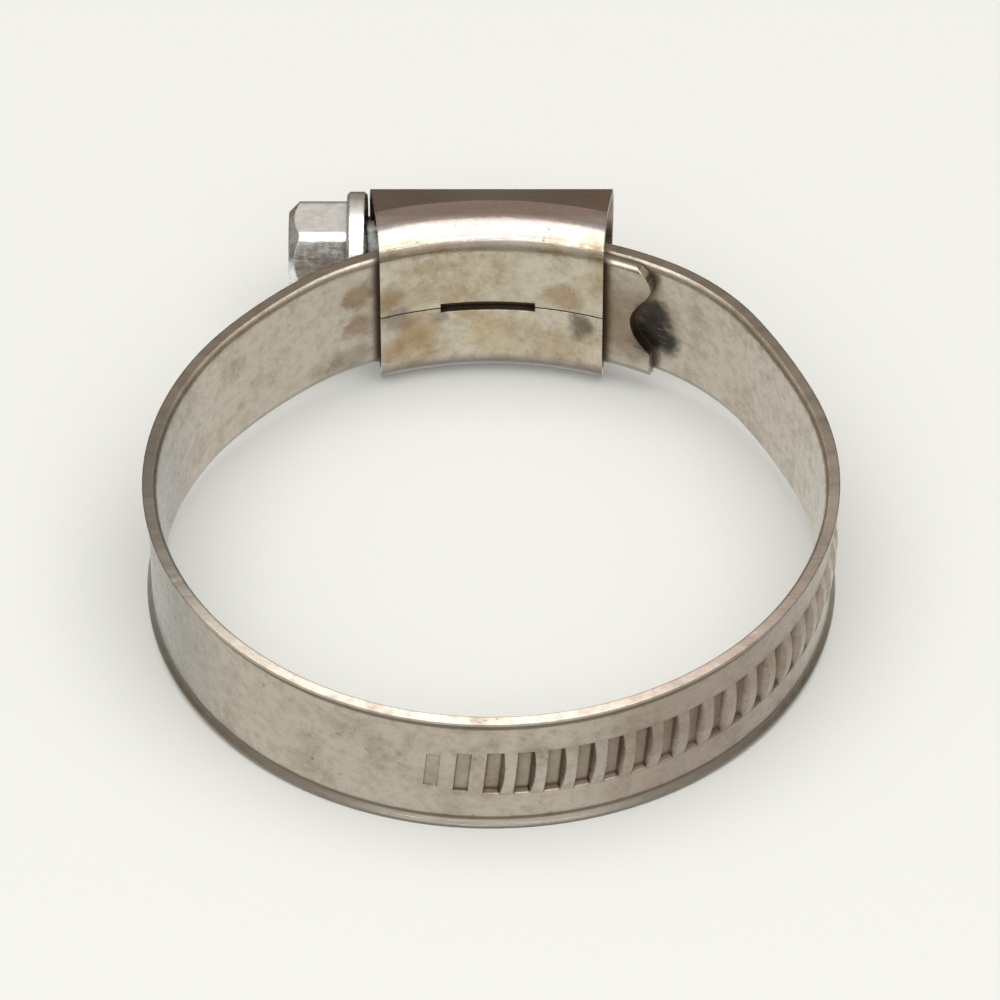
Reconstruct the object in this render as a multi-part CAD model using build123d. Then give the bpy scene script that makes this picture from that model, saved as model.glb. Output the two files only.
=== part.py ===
from build123d import *
from math import acos, atan2, cos, degrees, floor, hypot, pi, radians, sin, sqrt, tan
import os

# Worm drive hose clamp, lying with its ring axis upright. Millimetres, +Z up.
# The origin is on the ring's axis at half the band's width, and the housing is towards +Y.
# Angles are in degrees, counter-clockwise from +X as seen from above.

# Band strip
hose_radius = 27.55        # inside of the closed ring
band_width = 12.0
band_thickness = 0.9
layer_gap = 0.05           # between the tongue and the threaded layer above it

# Rolled-out edges of the strip
lip_height = 0.9           # height over which the inner face curves outwards
lip_flare = 0.4            # how far the inner edge stands out
lip_face = 0.9             # width of the edge face
lip_rim = 0.22             # upright stretch at the edge face's outer side
lip_root = 0.7             # height of the whole lip on the outer face

# Where the strip runs
tongue_angle = 61.3        # end of the inner tongue
lip_start_angle = 109.0    # the edges are flat from the tongue to here, just inside the housing
ring_start_angle = 140.0   # the strip has eased down to the hose here
ring_end_angle = 381.0     # it starts to climb over the tongue here
climb_end_angle = 421.0    # it lies on the tongue from here
tail_angle = 474.0         # free end, past the housing
housing_angle = 450.0      # middle of the housing, after one full turn

# Tongue and tail outlines
tongue_notch = 1.9         # depth of the wave in the tongue's end
tongue_lobe = 0.65         # the lower lobe stands this far past the upper one
tongue_round = 0.6         # radius of the tongue's edges on the hose side
tail_corner = 2.6          # radius of the tail's corners
tail_half_width = 4.9      # the free end lies between the rolled edges under it
tail_neck = 3.5            # length of that narrow end

# Pressed thread
thread_pitch = 2.455
thread_crest = 0.4         # height of the lands over the strip
thread_half_height = 2.5   # half the height of the raised band of lands
groove_depth = 0.35        # below the strip's outer face
groove_width = 1.1         # at the groove's floor
groove_half_height = 2.05  # at the groove's floor
groove_steep = 6.0         # slope of the leading wall, degrees
groove_slope = 32.0        # slope of the following wall, degrees
groove_end_slope = 38.0    # slope of the ends, degrees
groove_lean = 5.0          # lead of the thread, degrees
groove_count = 44
starter_depths = (0.08, 0.16)  # the first grooves are only lightly pressed
starter_height = 0.84      # share of the height of the lightest one
tail_margin = 1.6          # plain strip left at the free end

# Housing sheet
sheet = 0.7
sheet_gap = 0.08           # between the housing and the strip's face
edge_gap = 1.54            # between the housing and the strip's edges
housing_half_length = 9.7  # at the hose
end_splay = 0.08           # the ends lean out, length per depth
bend_radius = 2.7          # outer radius where the sheet turns round the strip
flat_top = 1.82            # from the threaded layer to the crease behind the flat top
seam_gap = 0.14
window_start = -4.4        # dark window in the seam, along X
window_end = 3.75
window_height = 1.0
neck_plate_place = 0.5     # the plate behind the screw's neck is this far inside the end
loft_overrun = 0.4         # the sheet is lofted this far past its ends, then trimmed
hollow_overrun = 1.02      # the hollow's loft is this much longer than the outside's

# Screw
screw_radius = 4.6         # outside of the worm
worm_core = 3.75
worm_reach = 0.2          # how far the worm reaches below the strip's outer face
worm_tip = 0.7             # width of the worm thread at its crest
worm_flank = 17.0          # slope of the worm's flanks, degrees
barrel_gap = 0.15          # between the worm and the barrel
neck_radius = 3.1
neck_gap = 0.1             # between the neck and the housing's lip
collar_radius = 5.23
collar_length = 1.75
collar_edge = 0.25
collar_gap = 0.12          # between the collar and the housing
hex_flats = 8.0
hex_corner = 1.0           # radius of the cold-formed corners
hex_length = 5.05
hex_round = 4.5            # the head's end is chamfered from this radius
hex_chamfer = 1.0
hex_turn = 1.2             # the flats' turn about the screw's axis, degrees
slot_width = 1.2
slot_depth = 1.3
slot_turn = 45.0           # direction of the slot across the head, degrees
worm_end_gap = 0.9         # the worm stops this far inside the housing's open end

# Construction
cut_margin = 1.0           # cutters reach at least this far past what they cut
join_overlap = 0.1         # parts of one solid run this far into each other

# Values that follow
half_width = band_width / 2
inner_layer_radius = hose_radius + sheet + sheet_gap
outer_layer_radius = inner_layer_radius + band_thickness + layer_gap
thread_floor_radius = outer_layer_radius + band_thickness
screw_y = thread_floor_radius - worm_reach + screw_radius
crease_radius = thread_floor_radius + flat_top
housing_half_height = half_width + edge_gap + sheet
barrel_radius = screw_radius + barrel_gap + sheet


def direction(angle):
    return Vector(cos(radians(angle)), sin(radians(angle)), 0)


class Arc:
    """A stretch of the strip, bent to one radius about its own centre."""

    def __init__(self, centre, radius, start, end):
        self.centre = centre
        self.radius = radius
        self.start = start
        self.end = end

    def plane_at(self, angle, depth=0.0):
        """Plane on the strip, x along it, y up and z outwards, depth out from its inner face."""
        outward = direction(angle)
        along = direction(angle + 90)
        return Plane(self.centre + outward * (self.radius + depth), x_dir=along, z_dir=outward)


def ease(start_radius, start, end_radius, end):
    """Two tangent arcs that lead from one ring radius to another."""
    mean_radius = (start_radius + end_radius) / 2
    run = mean_radius * radians(end - start)
    first = 1 / (1 / mean_radius - 4 * (end_radius - start_radius) / run**2)
    first_centre = direction(start) * (start_radius - first)
    end_point = direction(end) * end_radius
    reach = first_centre - end_point
    second = (first**2 - reach.length**2) / (2 * (reach.dot(direction(end)) + first))
    second_centre = direction(end) * (end_radius - second)
    line = second_centre - first_centre if first > second else first_centre - second_centre
    meet = degrees(atan2(line.Y, line.X))
    while meet < start:
        meet += 360
    return [Arc(first_centre, first, start, meet), Arc(second_centre, second, meet, end)]


# Band

def flat_section(radius):
    """Flat strip, its edges rounded on the hose side where the housing's bends pass them."""
    outer = radius + band_thickness
    straight = half_width - tongue_round
    inset = tongue_round * (1 - sqrt(0.5))
    lines = [Line((radius, -straight), (radius, straight))]
    for side in (1, -1):
        lines += [
            ThreePointArc((radius, side * straight), (radius + inset, side * (half_width - inset)),
                          (radius + tongue_round, side * half_width)),
            Line((radius + tongue_round, side * half_width), (outer, side * half_width)),
        ]
    return lines + [Line((outer, half_width), (outer, -half_width))]


def lipped_section(radius, raised):
    """Strip with both edges rolled out, and with the raised band of lands if asked."""
    outer = radius + band_thickness
    curve_end = half_width - lip_height
    root = half_width - lip_root
    edge = radius + lip_flare
    face_end = edge + lip_face
    lines = [
        Line((radius, -curve_end), (radius, curve_end)),
        TangentArc((radius, curve_end), (edge, half_width), tangent=(0, 1)),
        Polyline((edge, half_width), (face_end, half_width), (face_end, half_width - lip_rim), (outer, root)),
    ]
    if raised:
        lines += [
            Line((outer, root), (outer, thread_half_height)),
            ThreePointArc((outer, thread_half_height), (outer + thread_crest, 0), (outer, -thread_half_height)),
            Line((outer, -thread_half_height), (outer, -root)),
        ]
    else:
        lines.append(Line((outer, root), (outer, -root)))
    lines += [
        Polyline((outer, -root), (face_end, lip_rim - half_width), (face_end, -half_width), (edge, -half_width)),
        TangentArc((radius, -curve_end), (edge, -half_width), tangent=(0, -1)),
    ]
    return lines


def strip(arc, lines):
    """The strip along one arc: its section turned about the arc's centre."""
    plane = Plane(arc.centre, x_dir=direction(arc.start), z_dir=-direction(arc.start + 90))
    section = plane * make_face(lines)
    return revolve(section, Axis(arc.centre, (0, 0, 1)), arc.end - arc.start)


tongue_arc = Arc(Vector(0, 0, 0), inner_layer_radius, tongue_angle, lip_start_angle)
settle_arcs = ease(inner_layer_radius, lip_start_angle, hose_radius, ring_start_angle)
climb_arcs = ease(hose_radius, ring_end_angle, outer_layer_radius, climb_end_angle)
tail_arc = Arc(Vector(0, 0, 0), outer_layer_radius, climb_end_angle, tail_angle)
ring_arc = Arc(Vector(0, 0, 0), hose_radius, ring_start_angle, ring_end_angle)


def thread_place(distance):
    """Arc and angle at a distance along the strip from the housing's middle, negative before it."""
    if distance > 0:
        return tail_arc, housing_angle + degrees(distance / thread_floor_radius)
    left = -distance
    limit = housing_angle
    for arc in (tail_arc, climb_arcs[1], climb_arcs[0], ring_arc):
        here = min(limit, arc.end)
        stretch = radians(here - arc.start) * (arc.radius + band_thickness)
        if left <= stretch or arc is ring_arc:
            return arc, here - degrees(left / (arc.radius + band_thickness))
        left -= stretch


tail_length = radians(tail_angle - housing_angle) * thread_floor_radius
last_groove = floor((tail_length - tail_margin) / thread_pitch)
first_groove = last_groove - groove_count + 1
first_full_groove = first_groove + len(starter_depths)
land_angle = thread_place(first_full_groove * thread_pitch)[1]
plain_arc = Arc(Vector(0, 0, 0), hose_radius, ring_start_angle, land_angle)
raised_arc = Arc(Vector(0, 0, 0), hose_radius, land_angle, ring_end_angle)


def groove_cutter(plane, depth, height_share=1.0):
    """Press tool for one groove: one steep wall, one sloped wall and sloped ends, leaning with the lead."""
    top = thread_crest + cut_margin / 2
    rise = depth + top
    half = groove_half_height * height_share
    lean = tan(radians(groove_lean))
    ends = tan(radians(groove_end_slope))

    def outline(level, grow):
        left = -groove_width / 2 - grow * tan(radians(groove_steep))
        right = groove_width / 2 + grow * tan(radians(groove_slope))
        tall = half + grow * ends
        corners = ((left, -tall), (right, -tall), (right, tall), (left, tall))
        points = [(x + y * lean, y) for x, y in corners]
        return plane.offset(level) * make_face(Polyline(*points, points[0]))

    return loft([outline(-depth, 0), outline(top, rise)], ruled=True)


def tongue_cutter():
    """Everything past the tongue's wavy end."""
    margin = 4 * cut_margin
    corner = (tongue_notch * 1.35, half_width)
    foot = (tongue_notch * 0.85 - tongue_lobe, -half_width)
    wave = Spline(
        corner, (tongue_notch * 0.4, half_width * 0.92), (0, half_width * 0.7), (tongue_notch * 0.5, half_width * 0.36),
        (tongue_notch, 0), (tongue_notch * 0.6, -half_width * 0.37), (-tongue_lobe, -half_width * 0.77),
        (-tongue_lobe * 0.5, -half_width * 0.93), foot)
    frame = Polyline(
        foot, (foot[0], -half_width - margin), (-margin, -half_width - margin), (-margin, half_width + margin),
        (corner[0], half_width + margin), corner)
    return extrude(
        tongue_arc.plane_at(tongue_angle, -cut_margin) * make_face([wave, frame]),
        band_thickness + 2 * cut_margin)


def tail_cutter(side):
    """What narrows and rounds the tail on one side, 1 at the top and -1 at the bottom."""
    high = side * (half_width + cut_margin)
    edge = side * tail_half_width
    start = (-tail_corner, edge)
    finish = (0, edge - side * tail_corner)
    inset = tail_corner * (1 - sqrt(0.5))
    frame = Polyline(
        finish, (cut_margin, finish[1]), (cut_margin, high), (-tail_neck, high), (-tail_neck, edge), start)
    face = make_face([ThreePointArc(start, (-inset, edge - side * inset), finish), frame])
    depth = band_thickness + lip_flare + lip_face + 2 * cut_margin
    return extrude(tail_arc.plane_at(tail_angle, -cut_margin) * face, depth)


def make_band():
    band = strip(tongue_arc, flat_section(tongue_arc.radius)) - tongue_cutter()
    for arc in settle_arcs + [plain_arc]:
        band += strip(arc, lipped_section(arc.radius, False))
    for arc in [raised_arc] + climb_arcs:
        band += strip(arc, lipped_section(arc.radius, True))
    band += strip(tail_arc, lipped_section(tail_arc.radius, True)) - [tail_cutter(1), tail_cutter(-1)]
    cutters = []
    for count in range(groove_count):
        arc, angle = thread_place((first_groove + count) * thread_pitch)
        depth = starter_depths[count] if count < len(starter_depths) else groove_depth
        share = starter_height if count == 0 else 1.0
        cutters.append(groove_cutter(arc.plane_at(angle, band_thickness), depth, share))
    return band - cutters


# Housing

def wrap_section(x, inset):
    """Outline of the housing across the screw at one place along it, inset from its outer face."""
    inner = sqrt(hose_radius**2 - x**2) + inset
    high = housing_half_height - inset
    bend = bend_radius - inset
    barrel = barrel_radius - inset
    crease = sqrt(crease_radius**2 - x**2)
    reach = hypot(crease - screw_y, housing_half_height)
    touch = atan2(housing_half_height, crease - screw_y) - acos(barrel_radius / reach)
    crease -= inset * tan((pi / 2 - touch) / 2)
    touch_y = screw_y + barrel * cos(touch)
    touch_z = barrel * sin(touch)
    corner = bend * (1 - sqrt(0.5))
    lines = [Line((inner, bend - high), (inner, high - bend))]
    for side in (1, -1):
        lines += [
            ThreePointArc((inner, side * (high - bend)), (inner + corner, side * (high - corner)),
                          (inner + bend, side * high)),
            Line((inner + bend, side * high), (crease, side * high)),
            Line((crease, side * high), (touch_y, side * touch_z)),
        ]
    lines.append(ThreePointArc((touch_y, touch_z), (screw_y + barrel, 0), (touch_y, -touch_z)))
    return Plane((x, 0, 0), x_dir=(0, 1, 0), z_dir=(1, 0, 0)) * make_face(lines)


def make_housing():
    depth = screw_y + barrel_radius - hose_radius
    reach = housing_half_length + end_splay * depth + loft_overrun
    stations = [reach * share for share in (-1, -0.75, -0.5, -0.25, 0, 0.25, 0.5, 0.75, 1)]
    shell = loft([wrap_section(x, 0) for x in stations])
    shell -= loft([wrap_section(x * hollow_overrun, sheet) for x in stations])
    front = hose_radius - 4 * cut_margin
    back = screw_y + barrel_radius + 2 * cut_margin
    near = housing_half_length + end_splay * (front - hose_radius)
    far = housing_half_length + end_splay * (back - hose_radius)
    outline = make_face(Polyline((-near, front), (near, front), (far, back), (-far, back), (-near, front)))
    shell &= Pos(0, 0, -band_width) * extrude(outline, 2 * band_width)

    # Inward lip at the head's end, behind the neck of the screw
    lip_end = neck_left + collar_gap + neck_plate_place
    lip = Pos(lip_end, screw_y, 0) * Rot(0, 90, 0) * Cylinder(
        barrel_radius - sheet / 2, sheet, align=(Align.CENTER, Align.CENTER, Align.MIN))
    lip -= Pos(lip_end - cut_margin, screw_y, 0) * Rot(0, 90, 0) * Cylinder(
        neck_radius + neck_gap, sheet + 2 * cut_margin, align=(Align.CENTER, Align.CENTER, Align.MIN))
    lip -= Pos(lip_end, screw_y - barrel_radius, 0) * Box(4, 2 * barrel_radius, 4 * barrel_radius)
    shell += lip

    wall_depth = 2 * (sheet + 2 * cut_margin)
    wall = Pos(0, hose_radius - cut_margin, 0) * Box(4 * reach, wall_depth, seam_gap)
    window_middle = (window_start + window_end) / 2
    window = Pos(window_middle, hose_radius - cut_margin, 0) * Box(
        window_end - window_start, wall_depth, window_height)
    return shell - wall - window


# Screw, turned about a line along X; its head is towards -X

def turned(start, length, radius):
    return Pos(start, screw_y, 0) * Rot(0, 90, 0) * Cylinder(
        radius, length, align=(Align.CENTER, Align.CENTER, Align.MIN))


housing_head_end = -(housing_half_length + end_splay * (screw_y + collar_radius - hose_radius))
neck_left = housing_head_end - collar_gap
worm_start = neck_left + collar_gap + neck_plate_place + sheet + collar_gap
worm_end = housing_half_length + end_splay * (screw_y - hose_radius) - worm_end_gap


def make_head():
    collar = turned(neck_left - collar_length, collar_length, collar_radius)
    collar = chamfer(collar.edges().filter_by(GeomType.CIRCLE), collar_edge)
    hex_start = neck_left - collar_length - hex_length
    section = Plane((hex_start, screw_y, 0), x_dir=(0, 1, 0), z_dir=(1, 0, 0))
    hexagon = RegularPolygon(hex_flats / 2, 6, major_radius=False)
    hexagon = fillet(hexagon.vertices(), hex_corner)
    prism = extrude(section * Rot(0, 0, hex_turn) * hexagon, hex_length)
    round_bar = turned(hex_start, hex_length + cut_margin, hex_round)
    round_bar = chamfer(round_bar.edges().filter_by(GeomType.CIRCLE).sort_by(Axis.X)[0], hex_chamfer)
    head = (prism & round_bar) + collar
    slot = Pos(hex_start, screw_y, 0) * Rot(slot_turn, 0, 0) * Box(2 * slot_depth, 4 * hex_flats, slot_width)
    return head - slot


def make_worm():
    core = turned(neck_left - join_overlap, worm_start - neck_left + 2 * join_overlap, neck_radius)
    core += turned(worm_start, worm_end - worm_start, worm_core)
    flank = (screw_radius - worm_core) * tan(radians(worm_flank))
    root = worm_core - join_overlap
    half_tip = worm_tip / 2
    half_root = half_tip + flank
    turns_before = floor(-worm_start / thread_pitch - 0.5)
    turns_after = floor(worm_end / thread_pitch - 0.5)
    start = -turns_before * thread_pitch
    length = (turns_before + turns_after) * thread_pitch
    path = Helix(thread_pitch, length, worm_core)
    profile = Plane((worm_core, 0, 0), x_dir=(1, 0, 0), z_dir=(0, -1, 0)) * make_face(Polyline(
        (root - worm_core, -half_root), (screw_radius - worm_core, -half_tip),
        (screw_radius - worm_core, half_tip), (root - worm_core, half_root), (root - worm_core, -half_root)))
    thread = sweep(profile, path=path, is_frenet=True)
    # The thread starts on the side towards the strip, in the middle of a groove
    to_axis = Plane((start, screw_y, 0), x_dir=(0, -1, 0), z_dir=(1, 0, 0))
    return core + to_axis * thread


os.makedirs("parts", exist_ok=True)
export_step(make_band(), "parts/band.step")
export_step(make_housing(), "parts/housing.step")
export_step(make_head() + make_worm(), "parts/worm_screw.step")
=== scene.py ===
import math

import bpy
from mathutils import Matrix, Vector


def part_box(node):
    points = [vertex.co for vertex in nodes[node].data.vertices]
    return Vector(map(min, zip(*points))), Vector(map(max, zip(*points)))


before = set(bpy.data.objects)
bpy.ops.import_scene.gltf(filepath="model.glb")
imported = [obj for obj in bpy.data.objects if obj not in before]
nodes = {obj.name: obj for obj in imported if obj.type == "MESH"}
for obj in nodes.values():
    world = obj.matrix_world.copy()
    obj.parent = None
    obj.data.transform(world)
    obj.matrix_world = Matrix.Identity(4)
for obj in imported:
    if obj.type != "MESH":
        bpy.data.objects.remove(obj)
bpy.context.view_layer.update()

scene = bpy.context.scene
scene.view_settings.view_transform = "Standard"

# ---------------------------------------------------------------------------
# Bench, light and camera. The clamp lies on a pale bench top under a wide
# overhead diffuser, with darker walls all round at the height of the horizon.
# ---------------------------------------------------------------------------

MM = 0.001

camera_place = Vector((0.73, -389.6, 376.1)) * MM
camera_pitch = math.radians(43.75)
camera_lens = 234.0            # mm, on a 36 mm sensor

bench_half = 3.0
housing_foot = 2.5 * MM        # the housing's lowest line lies this far behind its inner face
band_foot = 0.5 * MM           # and the band's this far behind its foremost point
bench_hex = "#f2f3ed"
bench_paint_hex = "#c5c6c2"    # the bench's own colour under the lamps
bench_fill = 0.11              # share of the bench's brightness that is even all over
bench_far_hex = "#5a5047"      # what metal mirrors beyond the bright sheet
bench_behind_hex = "#8f8071"   # the same behind the clamp
behind_from = 60 * MM
behind_to = 120 * MM
sheet_middle = Vector((0, -35, 0)) * MM
sheet_bright = 75 * MM
sheet_end = 105 * MM

# The room's colour by height, 0 at the horizon and 1 straight up
room_steps = [(0.05, "#9b9187"), (0.30, "#a89f95"), (0.50, "#cfcac3"), (0.75, "#dcdad6"), (0.95, "#ffffff")]
room_lean = -0.3               # how much of y counts as height: the room is lighter towards the front
MIX_COLOUR = 2                 # the Mix node's colour output


def paint(hex_colour):
    """sRGB hex to the linear colour that Blender's sockets take."""
    channels = [int(hex_colour[i:i + 2], 16) / 255 for i in (1, 3, 5)]
    linear = [c / 12.92 if c <= 0.04045 else ((c + 0.055) / 1.055) ** 2.4 for c in channels]
    return (*linear, 1.0)


def node(tree, kind, inputs=None, **settings):
    """Adds one shader node, sets its properties, and fills or links its inputs.
    An input is given by its place, its identifier or its name."""
    made = tree.nodes.new(kind)
    for name, value in settings.items():
        setattr(made, name, value)
    for name, value in (inputs or {}).items():
        named = [s for s in made.inputs if s.identifier == name]
        socket = named[0] if named else made.inputs[name]
        if isinstance(value, bpy.types.NodeSocket):
            tree.links.new(value, socket)
        else:
            socket.default_value = value
    return made


def new_material(name):
    material = bpy.data.materials.new(name)
    material.use_nodes = True
    material.node_tree.nodes.clear()
    return material, material.node_tree


def make_bench():
    # The bench touches the housing's lower bend at the back and the band's edge at the front
    low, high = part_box("housing")
    band_low, band_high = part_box("band")
    back = Vector((0, low.y + housing_foot, low.z))
    front = Vector((0, band_low.y + band_foot, band_low.z))
    slope = (back.z - front.z) / (back.y - front.y)

    mesh = bpy.data.meshes.new("bench")
    flat = [(x * bench_half, y * bench_half) for x, y in ((-1, -1), (1, -1), (1, 1), (-1, 1))]
    corners = [(x, y, front.z + slope * (y - front.y)) for x, y in flat]
    mesh.from_pydata(corners, [], [(0, 1, 2, 3)])
    bench = bpy.data.objects.new("bench", mesh)
    scene.collection.objects.link(bench)

    # Metal mirrors a bright sheet that ends a hand's width from the clamp
    material, tree = new_material("pale_bench_top")
    place = node(tree, "ShaderNodeTexCoord")
    away = node(tree, "ShaderNodeVectorMath", {
        0: place.outputs["Object"], 1: sheet_middle}, operation="DISTANCE")
    far = node(tree, "ShaderNodeMapRange", {
        "Value": away.outputs["Value"], "From Min": sheet_bright, "From Max": sheet_end})
    axes = node(tree, "ShaderNodeSeparateXYZ", {"Vector": place.outputs["Object"]})
    behind = node(tree, "ShaderNodeMapRange", {
        "Value": axes.outputs["Y"], "From Min": behind_from, "From Max": behind_to})
    beyond = node(tree, "ShaderNodeMix", {
        "Factor_Float": behind.outputs[0], "A_Color": paint(bench_far_hex),
        "B_Color": paint(bench_behind_hex)},
        data_type="RGBA")
    mirrored = node(tree, "ShaderNodeMix", {
        "Factor_Float": far.outputs[0], "A_Color": paint(bench_hex), "B_Color": beyond.outputs[MIX_COLOUR]},
        data_type="RGBA")
    seen = node(tree, "ShaderNodeEmission", {"Color": mirrored.outputs[MIX_COLOUR]})

    diffuse = node(tree, "ShaderNodeBsdfDiffuse", {"Color": paint(bench_paint_hex)})
    glow = node(tree, "ShaderNodeEmission", {"Color": paint(bench_hex), "Strength": bench_fill})
    lit = node(tree, "ShaderNodeAddShader", {0: diffuse.outputs[0], 1: glow.outputs[0]})
    rays = node(tree, "ShaderNodeLightPath")
    choose = node(tree, "ShaderNodeMixShader", {
        0: rays.outputs["Is Glossy Ray"], 1: lit.outputs[0], 2: seen.outputs[0]})
    node(tree, "ShaderNodeOutputMaterial", {"Surface": choose.outputs[0]})
    mesh.materials.append(material)


def make_room():
    """A dim room: dark all round at eye level, lighter overhead and towards the front."""
    world = bpy.data.worlds.new("room")
    scene.world = world
    world.use_nodes = True
    tree = world.node_tree
    tree.nodes.clear()
    place = node(tree, "ShaderNodeTexCoord")
    axes = node(tree, "ShaderNodeSeparateXYZ", {"Vector": place.outputs["Generated"]})
    height = node(tree, "ShaderNodeMath", {
        0: axes.outputs["Y"], 1: room_lean, 2: axes.outputs["Z"]}, operation="MULTIPLY_ADD")
    ramp = node(tree, "ShaderNodeValToRGB", {"Fac": height.outputs[0]})
    steps = ramp.color_ramp.elements
    steps[0].position, steps[0].color = room_steps[0][0], paint(room_steps[0][1])
    steps[1].position, steps[1].color = room_steps[-1][0], paint(room_steps[-1][1])
    for position, hex_colour in room_steps[1:-1]:
        steps.new(position).color = paint(hex_colour)
    room = node(tree, "ShaderNodeBackground", {"Color": ramp.outputs["Color"]})
    plain = node(tree, "ShaderNodeBackground", {"Color": paint(bench_hex)})
    rays = node(tree, "ShaderNodeLightPath")
    choose = node(tree, "ShaderNodeMixShader", {
        0: rays.outputs["Is Camera Ray"], 1: room.outputs[0], 2: plain.outputs[0]})
    node(tree, "ShaderNodeOutputWorld", {"Surface": choose.outputs[0]})


def soft_box(name, place, width, depth, radiance):
    """A flat lamp that faces the clamp; radiance is its own brightness, 1 being white."""
    light = bpy.data.lights.new(name, "AREA")
    light.shape = "RECTANGLE"
    light.size = width
    light.size_y = depth
    light.energy = radiance * math.pi * width * depth
    box = bpy.data.objects.new(name, light)
    box.location = place
    box.rotation_euler = (-Vector(place)).to_track_quat("-Z", "Y").to_euler()
    scene.collection.objects.link(box)


make_bench()
make_room()
soft_box("overhead_diffuser", place=(0, -0.05, 0.60), width=0.95, depth=0.75, radiance=1.75)
soft_box("front_diffuser", place=(0, -0.75, 0.64), width=1.1, depth=0.15, radiance=3.8)

camera_data = bpy.data.cameras.new("camera")
camera_data.lens = camera_lens
camera_data.sensor_width = 36.0
camera_data.clip_start = 0.01
camera_data.dof.use_dof = False
camera = bpy.data.objects.new("camera", camera_data)
camera.location = camera_place
camera.rotation_euler = (math.pi / 2 - camera_pitch, 0, 0)
scene.collection.objects.link(camera)
scene.camera = camera

# ---------------------------------------------------------------------------
# Band: one stainless strip, rolled out at both edges and pressed with threads.
# Its mill finish is worn from use: faint brushing along the strip, soft clouds
# of tan tarnish, small pits, and dark grime with painted shade wherever two surfaces meet.
# ---------------------------------------------------------------------------

band_steel_hex = "#bfb5a8"
band_tarnish_hex = "#9f907f"
band_grime_and_shade_hex = "#5b4a3b"
band_pit_hex = "#40352c"
band_radius_mm = 29.0
edge_round_mm = 0.2
brush_scale = (0.18, 8.0, 1.0)     # noise cells in a mm: along the strip, across it and out of it
cloud_scale = 0.24
mottle_scale = 1.1
speck_scale = 2.6
scratch_scale = (0.5, 9.0, 0.5)
scratch_slant = 0.9            # radians
wander_mm = 4.0                # how far the clouds push the stains' edges about
grime_and_shade_reach_mm = 1.1
relief_mm = 0.012
crown = 0.24                   # how far the upper edge's face turns outwards
crown_start_mm = 5.8           # height of that face over the band's middle
undercut_mm = 5.15             # height of the painted shade lines where the strip rolls out
undercut_core_mm = 0.1         # half of a line where it is darkest
undercut_half_mm = 0.28        # half of a line in all
groove_brim_mm = 28.43         # the grooves lie closer to the ring's axis than this
groove_hex = "#8b745c"
groove_brown = 0.35            # share of that colour in them
groove_edge_mm = 0.07          # depth over which it sets in
thread_reach_mm = 3.0          # the grooves end inside this height over the band's middle
groove_foot_mm = -1.95         # the grooves' lower ends, which are painted dark as shade

# Stains left by water and rubber, a dark patch beside the tongue and painted shade: centre in mm, radius in
# mm, colour, strength
band_stains_and_shade = [
    ((21.0, -20.0, 0.0), 19.0, "#86736a", 0.55),
    # Painted shade: the outer left side is darkened for the dim side that it mirrors
    ((-28.0, -4.0, 0.0), 18.0, "#85827c", 0.75),
    ((12.0, 25.6, 0.0), 5.4, "#7a6650", 0.70),
    # A near-black patch on the inner face beside the tongue
    ((13.9, 25.6, 0.8), 2.2, "#2a2827", 0.90),
    ((14.3, 25.4, -1.8), 2.4, "#2a2827", 0.93),
    ((-11.5, 25.7, 2.8), 1.9, "#80603c", 0.65),
    ((-11.5, 25.6, -0.8), 1.9, "#7e6040", 0.62),
    ((-12.0, 25.2, -4.2), 2.2, "#6e6051", 0.45),
]

# Where dark pits crowd together: centre and radius in mm
band_speckled = [((-11.0, -26.3, -1.0), 6.0), ((24.5, 12.5, 1.0), 9.0)]
band_lower_edge = (-5.1, -5.4, "#8a857b", 0.85)   # z from, z to, colour and share there


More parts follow.
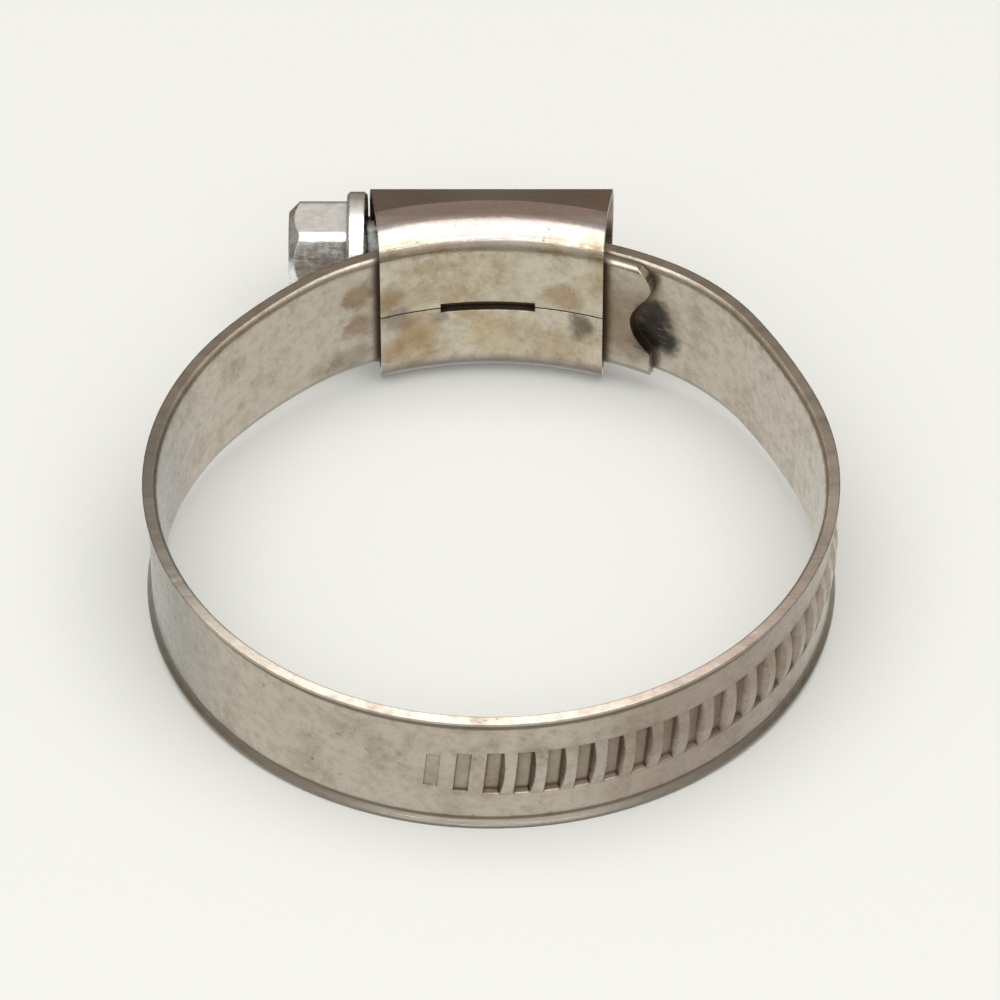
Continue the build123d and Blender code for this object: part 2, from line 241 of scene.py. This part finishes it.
def worn_steel(name, steel_hex, tarnish_hex, grime_and_shade_hex, pit_hex, stains_and_shade, speckled, lower_edge,
               along_ring, rough, tarnish_from, tints_and_shade=()):
    """Used stainless sheet: a warm grey metal whose polish varies with its scratches and stains."""
    material, tree = new_material(name)
    place = node(tree, "ShaderNodeTexCoord")
    metric = node(tree, "ShaderNodeMapping", {
        "Vector": place.outputs["Object"], "Scale": (1000, 1000, 1000)})
    position = metric.outputs["Vector"]
    axes = node(tree, "ShaderNodeSeparateXYZ", {"Vector": position})
    along = axes.outputs["X"]
    if along_ring:
        turn = node(tree, "ShaderNodeMath", {
            0: axes.outputs["Y"], 1: axes.outputs["X"]}, operation="ARCTAN2")
        arc = node(tree, "ShaderNodeMath", {0: turn.outputs[0], 1: band_radius_mm}, operation="MULTIPLY")
        along = arc.outputs[0]

    # Brushing: lines about 0.1 mm wide that run 5 mm or more along the strip
    strip = node(tree, "ShaderNodeCombineXYZ", {"X": along, "Y": axes.outputs["Z"], "Z": axes.outputs["Y"]})
    drawn = node(tree, "ShaderNodeMapping", {"Vector": strip.outputs[0], "Scale": brush_scale})
    brush = node(tree, "ShaderNodeTexNoise", {"Vector": drawn.outputs[0], "Scale": 1.0, "Detail": 3.0})

    # Tarnish clouds 3 to 6 mm across, mottled at 1 mm
    clouds = node(tree, "ShaderNodeTexNoise", {
        "Vector": position, "Scale": cloud_scale, "Detail": 6.0, "Roughness": 0.64})
    mottle = node(tree, "ShaderNodeTexNoise", {
        "Vector": position, "Scale": mottle_scale, "Detail": 5.0, "Roughness": 0.65})
    tarnish = node(tree, "ShaderNodeMapRange", {
        "Value": clouds.outputs["Fac"], "From Min": tarnish_from, "From Max": tarnish_from + 0.22,
        "To Max": 0.85})
    shade = node(tree, "ShaderNodeMix", {
        "Factor_Float": tarnish.outputs[0], "A_Color": paint(steel_hex), "B_Color": paint(tarnish_hex)},
        data_type="RGBA")
    mottled = node(tree, "ShaderNodeMapRange", {
        "Value": mottle.outputs["Fac"], "From Min": 0.46, "From Max": 0.74, "To Max": 0.30})
    shade = node(tree, "ShaderNodeMix", {
        "Factor_Float": mottled.outputs[0], "A_Color": shade.outputs[MIX_COLOUR],
        "B_Color": paint(grime_and_shade_hex)},
        data_type="RGBA")

    # Tints and painted shade that set in with the distance from the ring's axis
    for tint_from, tint_to, tint_hex, share in tints_and_shade:
        tint_and_shade = node(tree, "ShaderNodeMapRange", {
            "Value": axes.outputs["Y"], "From Min": tint_from, "From Max": tint_to, "To Max": share})
        shade = node(tree, "ShaderNodeMix", {
            "Factor_Float": tint_and_shade.outputs[0], "A_Color": shade.outputs[MIX_COLOUR],
            "B_Color": paint(tint_hex)},
            data_type="RGBA")

    # The grooves are browner than the lands, and their upturned lower ends are painted dark as shade
    if along_ring:
        flat = node(tree, "ShaderNodeCombineXYZ", {"X": axes.outputs["X"], "Y": axes.outputs["Y"]})
        out = node(tree, "ShaderNodeVectorMath", {0: flat.outputs[0]}, operation="LENGTH")
        sunk = node(tree, "ShaderNodeMapRange", {
            "Value": out.outputs["Value"], "From Min": groove_brim_mm,
            "From Max": groove_brim_mm - groove_edge_mm})
        outwards = node(tree, "ShaderNodeVectorMath", {0: flat.outputs[0]}, operation="NORMALIZE")
        faces_out = node(tree, "ShaderNodeVectorMath", {
            0: place.outputs["Normal"], 1: outwards.outputs[0]}, operation="DOT_PRODUCT")
        not_inside = node(tree, "ShaderNodeMath", {
            0: faces_out.outputs["Value"], 1: -0.5}, operation="GREATER_THAN")
        level = node(tree, "ShaderNodeMath", {0: axes.outputs["Z"]}, operation="ABSOLUTE")
        near_middle = node(tree, "ShaderNodeMath", {
            0: level.outputs[0], 1: thread_reach_mm}, operation="LESS_THAN")
        groove = node(tree, "ShaderNodeMath", {
            0: sunk.outputs[0], 1: not_inside.outputs[0]}, operation="MULTIPLY")
        groove = node(tree, "ShaderNodeMath", {
            0: groove.outputs[0], 1: near_middle.outputs[0]}, operation="MULTIPLY")
        brown = node(tree, "ShaderNodeMath", {0: groove.outputs[0], 1: groove_brown}, operation="MULTIPLY")
        shade = node(tree, "ShaderNodeMix", {
            "Factor_Float": brown.outputs[0], "A_Color": shade.outputs[MIX_COLOUR],
            "B_Color": paint(groove_hex)},
            data_type="RGBA")
        foot = node(tree, "ShaderNodeMapRange", {
            "Value": axes.outputs["Z"], "From Min": groove_foot_mm + 0.3,
            "From Max": groove_foot_mm - 0.1, "To Max": 0.85})
        groove_foot_shade = node(tree, "ShaderNodeMath", {
            0: groove.outputs[0], 1: foot.outputs[0]}, operation="MULTIPLY")
        shade = node(tree, "ShaderNodeMix", {
            "Factor_Float": groove_foot_shade.outputs[0], "A_Color": shade.outputs[MIX_COLOUR],
            "B_Color": paint(pit_hex)},
            data_type="RGBA")

    # Stains and patches of painted shade in known places, their edges broken up by the mottling
    wander = node(tree, "ShaderNodeVectorMath", {
        0: clouds.outputs["Color"], 1: (0.5, 0.5, 0.5)}, operation="SUBTRACT")
    wander = node(tree, "ShaderNodeVectorMath", {0: wander.outputs[0], "Scale": wander_mm}, operation="SCALE")
    shifted = node(tree, "ShaderNodeVectorMath", {0: position, 1: wander.outputs[0]}, operation="ADD")
    for centre, radius, patch_hex, strength in stains_and_shade:
        away = node(tree, "ShaderNodeVectorMath", {0: shifted.outputs[0], 1: centre}, operation="DISTANCE")
        amount = node(tree, "ShaderNodeMapRange", {
            "Value": away.outputs["Value"], "From Min": radius * 0.45, "From Max": radius * 1.05,
            "To Min": strength, "To Max": 0.0}, interpolation_type="SMOOTHSTEP")
        shade = node(tree, "ShaderNodeMix", {
            "Factor_Float": amount.outputs[0], "A_Color": shade.outputs[MIX_COLOUR],
            "B_Color": paint(patch_hex)},
            data_type="RGBA")

    # Pits 0.1 to 0.3 mm across, in patches
    specks = node(tree, "ShaderNodeTexNoise", {
        "Vector": position, "Scale": speck_scale, "Detail": 3.0, "Roughness": 0.7})
    patchy = node(tree, "ShaderNodeMapRange", {
        "Value": clouds.outputs["Fac"], "From Min": 0.35, "From Max": 0.62, "To Min": 0.70, "To Max": 0.61})
    for centre, radius in speckled:
        away = node(tree, "ShaderNodeVectorMath", {0: shifted.outputs[0], 1: centre}, operation="DISTANCE")
        crowd = node(tree, "ShaderNodeMapRange", {
            "Value": away.outputs["Value"], "From Min": radius * 0.4, "From Max": radius, "To Min": -0.05,
            "To Max": 0.0})
        patchy = node(tree, "ShaderNodeMath", {0: patchy.outputs[0], 1: crowd.outputs[0]}, operation="ADD")
    pits = node(tree, "ShaderNodeMapRange", {
        "Value": specks.outputs["Fac"], "From Min": patchy.outputs[0], "From Max": 0.84, "To Max": 0.9})
    shade = node(tree, "ShaderNodeMix", {
        "Factor_Float": pits.outputs[0], "A_Color": shade.outputs[MIX_COLOUR], "B_Color": paint(pit_hex)},
        data_type="RGBA")

    # Short bright scratches, about 2 mm long, that cross the strip at a slant
    slanted = node(tree, "ShaderNodeMapping", {
        "Vector": strip.outputs[0], "Rotation": (0, 0, scratch_slant), "Scale": scratch_scale})
    cuts = node(tree, "ShaderNodeTexNoise", {"Vector": slanted.outputs[0], "Scale": 1.0, "Detail": 2.0})
    scratched = node(tree, "ShaderNodeMapRange", {
        "Value": cuts.outputs["Fac"], "From Min": 0.66, "From Max": 0.74, "To Max": 0.6})
    shade = node(tree, "ShaderNodeMix", {
        "Factor_Float": scratched.outputs[0], "A_Color": shade.outputs[MIX_COLOUR],
        "B_Color": paint(steel_hex)},
        data_type="RGBA")

    # Grime and painted shade in the grooves, under the rolled edges and where sheets meet: the colour darkens
    # where ambient occlusion finds the surface hidden
    crevice = node(tree, "ShaderNodeAmbientOcclusion", {"Distance": grime_and_shade_reach_mm * MM}, samples=8)
    grime_and_shade = node(tree, "ShaderNodeMapRange", {
        "Value": crevice.outputs["AO"], "From Min": 0.93, "From Max": 0.52, "To Min": 0.0, "To Max": 0.88})
    shade = node(tree, "ShaderNodeMix", {
        "Factor_Float": grime_and_shade.outputs[0], "A_Color": shade.outputs[MIX_COLOUR],
        "B_Color": paint(grime_and_shade_hex)},
        data_type="RGBA")

    # Painted shade: dark lines in the concave corners where the strip rolls out to its edges
    if along_ring:
        off_line = node(tree, "ShaderNodeMath", {0: level.outputs[0], 1: undercut_mm}, operation="SUBTRACT")
        off_line = node(tree, "ShaderNodeMath", {0: off_line.outputs[0]}, operation="ABSOLUTE")
        line = node(tree, "ShaderNodeMapRange", {
            "Value": off_line.outputs[0], "From Min": undercut_half_mm, "From Max": undercut_core_mm,
            "To Max": 0.75})
        line = node(tree, "ShaderNodeMath", {
            0: line.outputs[0], 1: not_inside.outputs[0]}, operation="MULTIPLY")
        shade = node(tree, "ShaderNodeMix", {
            "Factor_Float": line.outputs[0], "A_Color": shade.outputs[MIX_COLOUR],
            "B_Color": paint(grime_and_shade_hex)},
            data_type="RGBA")

    # Darker towards the lower edge
    low_from, low_to, low_hex, low_share = lower_edge
    low = node(tree, "ShaderNodeMapRange", {
        "Value": axes.outputs["Z"], "From Min": low_from, "From Max": low_to, "To Max": low_share})
    shade = node(tree, "ShaderNodeMix", {
        "Factor_Float": low.outputs[0], "A_Color": shade.outputs[MIX_COLOUR], "B_Color": paint(low_hex)},
        data_type="RGBA")

    # Polish: brushing and mottling vary it, grime takes it away
    polish = node(tree, "ShaderNodeMapRange", {
        "Value": brush.outputs["Fac"], "From Min": 0.3, "From Max": 0.7, "To Min": rough - 0.06,
        "To Max": rough + 0.08})
    dull = node(tree, "ShaderNodeMath", {
        0: mottled.outputs[0], 1: 0.35, 2: polish.outputs[0]}, operation="MULTIPLY_ADD")
    dull = node(tree, "ShaderNodeMath", {
        0: grime_and_shade.outputs[0], 1: 0.3, 2: dull.outputs[0]}, operation="MULTIPLY_ADD")

    # The upper rolled edge is slightly crowned, so that its face leans outwards
    edges = node(tree, "ShaderNodeBevel", {"Radius": edge_round_mm * MM}, samples=6)
    rounded = edges.outputs[0]
    if along_ring:
        at_edge = node(tree, "ShaderNodeMath", {
            0: axes.outputs["Z"], 1: crown_start_mm}, operation="GREATER_THAN")
        turn_by = node(tree, "ShaderNodeMath", {0: at_edge.outputs[0], 1: crown}, operation="MULTIPLY")
        lean = node(tree, "ShaderNodeVectorMath", {
            0: outwards.outputs[0], "Scale": turn_by.outputs[0]}, operation="SCALE")
        leaning = node(tree, "ShaderNodeVectorMath", {0: rounded, 1: lean.outputs[0]}, operation="ADD")
        rounded = node(tree, "ShaderNodeVectorMath", {
            0: leaning.outputs[0]}, operation="NORMALIZE").outputs[0]
    relief = node(tree, "ShaderNodeMath", {
        0: pits.outputs[0], 1: -3.0, 2: brush.outputs["Fac"]}, operation="MULTIPLY_ADD")
    relief = node(tree, "ShaderNodeMath", {
        0: mottle.outputs["Fac"], 1: 1.6, 2: relief.outputs[0]}, operation="MULTIPLY_ADD")
    bump = node(tree, "ShaderNodeBump", {
        "Height": relief.outputs[0], "Distance": relief_mm * MM, "Strength": 0.7, "Normal": rounded})
    metal = node(tree, "ShaderNodeBsdfPrincipled", {
        "Base Color": shade.outputs[MIX_COLOUR], "Metallic": 1.0, "Roughness": dull.outputs[0],
        "Normal": bump.outputs[0]})
    node(tree, "ShaderNodeOutputMaterial", {"Surface": metal.outputs[0]})
    return material


def finish_node(name, material):
    """Gives a CAD node its finish in place of the plain one."""
    slots = nodes[name].data.materials
    slots.clear()
    slots.append(material)


finish_node("band", worn_steel(
    "used_stainless_strip", band_steel_hex, band_tarnish_hex, band_grime_and_shade_hex, band_pit_hex,
    band_stains_and_shade, band_speckled, band_lower_edge, along_ring=True, rough=0.27, tarnish_from=0.50))

# ---------------------------------------------------------------------------
# Housing: one stainless sheet folded round the strip and the screw until its
# ends meet in a seam on the hose side. The bends are stretched bright, and the
# flats keep tan stains from the hose.
# ---------------------------------------------------------------------------

housing_steel_hex = "#cbc1b0"
housing_tarnish_hex = "#a6906f"
# Along y: from, to, colour and share. The bend is rubbed bare, and the top is browned and painted darker as
# shade for the dark that it mirrors.
housing_tints_and_shade = [(27.6, 28.1, "#b5acaa", 0.9), (28.8, 30.1, "#a38f84", 0.9)]
housing_lower_edge = (-5.4, -6.5, "#645b5b", 0.85)
housing_speckled = [((7.0, 26.7, 0.0), 4.0)]
housing_stains = [
    ((-8.9, 26.2, 2.2), 2.3, "#8a6a45", 0.55),
    ((6.0, 26.9, 1.6), 2.3, "#94744b", 0.60),
    ((7.8, 26.5, -1.3), 1.6, "#4f4038", 0.75),
    ((-8.0, 26.4, -1.0), 1.8, "#7d6f6c", 0.65),
    ((-4.8, 27.1, -1.0), 1.2, "#655759", 0.55),
    ((-6.3, 26.8, -2.4), 2.4, "#9b7a4c", 0.50),
    ((-8.6, 26.2, -3.8), 1.9, "#8f7350", 0.50),
    ((0.0, 27.5, -3.6), 3.0, "#c0ab7c", 0.35),
]

finish_node("housing", worn_steel(
    "folded_stainless_sheet", housing_steel_hex, housing_tarnish_hex, band_grime_and_shade_hex, band_pit_hex,
    housing_stains, housing_speckled, housing_lower_edge, along_ring=False, rough=0.22, tarnish_from=0.46,
    tints_and_shade=housing_tints_and_shade))

# ---------------------------------------------------------------------------
# Worm screw: turned from steel bar, its hex cold formed, then bright zinc
# plated: bluish and mirror-like in the hollows, scuffed grey on the flats.
# ---------------------------------------------------------------------------

zinc_hex = "#eef1f2"
zinc_scuff_hex = "#b4b7b5"
zinc_dirt_and_shade_hex = "#3d3933"
zinc_rubbed_hex = "#d2d1cc"    # the flat that has rubbed on other things
neck_from_mm = -10.75          # the neck runs from the collar into the housing
neck_oil = 0.85
drawn_scale = (0.5, 3.0, 3.0)  # noise cells in a mm, along the screw and round it
dull_scale = 1.6
zinc_dirt_and_shade_reach_mm = 0.9
zinc_relief_mm = 0.02


def zinc_plate():
    material, tree = new_material("bright_zinc_plate")
    place = node(tree, "ShaderNodeTexCoord")
    metric = node(tree, "ShaderNodeMapping", {
        "Vector": place.outputs["Object"], "Scale": (1000, 1000, 1000)})
    drawn = node(tree, "ShaderNodeMapping", {"Vector": metric.outputs[0], "Scale": drawn_scale})
    scratch = node(tree, "ShaderNodeTexNoise", {
        "Vector": drawn.outputs[0], "Scale": 1.0, "Detail": 6.0, "Roughness": 0.7})
    mottle = node(tree, "ShaderNodeTexNoise", {"Vector": metric.outputs[0], "Scale": dull_scale,
        "Detail": 5.0})
    scuffs = node(tree, "ShaderNodeMapRange", {
        "Value": scratch.outputs["Fac"], "From Min": 0.46, "From Max": 0.66, "To Max": 0.8})
    shade = node(tree, "ShaderNodeMix", {
        "Factor_Float": scuffs.outputs[0], "A_Color": paint(zinc_hex), "B_Color": paint(zinc_scuff_hex)},
        data_type="RGBA")
    # Dirt and painted shade in the thread and under the hex: the colour darkens where ambient occlusion finds
    # the surface hidden
    crevice = node(tree, "ShaderNodeAmbientOcclusion", {"Distance": zinc_dirt_and_shade_reach_mm * MM}, samples=8)
    dirt_and_shade = node(tree, "ShaderNodeMapRange", {
        "Value": crevice.outputs["AO"], "From Min": 0.75, "From Max": 0.35, "To Min": 0.0, "To Max": 0.85})
    shade = node(tree, "ShaderNodeMix", {
        "Factor_Float": dirt_and_shade.outputs[0], "A_Color": shade.outputs[MIX_COLOUR],
        "B_Color": paint(zinc_dirt_and_shade_hex)},
        data_type="RGBA")
    axes = node(tree, "ShaderNodeSeparateXYZ", {"Vector": metric.outputs[0]})
    neck = node(tree, "ShaderNodeMath", {0: axes.outputs["X"], 1: neck_from_mm}, operation="GREATER_THAN")
    oily = node(tree, "ShaderNodeMath", {0: neck.outputs[0], 1: neck_oil}, operation="MULTIPLY")
    shade = node(tree, "ShaderNodeMix", {
        "Factor_Float": oily.outputs[0], "A_Color": shade.outputs[MIX_COLOUR],
        "B_Color": paint(zinc_dirt_and_shade_hex)},
        data_type="RGBA")
    facing = node(tree, "ShaderNodeSeparateXYZ", {"Vector": place.outputs["Normal"]})
    rubbed = node(tree, "ShaderNodeMapRange", {
        "Value": facing.outputs["Z"], "From Min": 0.97, "From Max": 0.99})
    shade = node(tree, "ShaderNodeMix", {
        "Factor_Float": rubbed.outputs[0], "A_Color": shade.outputs[MIX_COLOUR],
        "B_Color": paint(zinc_rubbed_hex)},
        data_type="RGBA")
    polish = node(tree, "ShaderNodeMapRange", {
        "Value": mottle.outputs["Fac"], "From Min": 0.3, "From Max": 0.7, "To Min": 0.16, "To Max": 0.34})
    polish = node(tree, "ShaderNodeMath", {
        0: rubbed.outputs[0], 1: 0.22, 2: polish.outputs[0]}, operation="MULTIPLY_ADD")
    edges = node(tree, "ShaderNodeBevel", {"Radius": edge_round_mm * MM}, samples=6)
    bump = node(tree, "ShaderNodeBump", {
        "Height": scratch.outputs["Fac"], "Distance": zinc_relief_mm * MM, "Strength": 0.8,
        "Normal": edges.outputs[0]})
    metal = node(tree, "ShaderNodeBsdfPrincipled", {
        "Base Color": shade.outputs[MIX_COLOUR], "Metallic": 1.0, "Roughness": polish.outputs[0],
        "Normal": bump.outputs[0]})
    node(tree, "ShaderNodeOutputMaterial", {"Surface": metal.outputs[0]})
    return material


finish_node("worm_screw", zinc_plate())
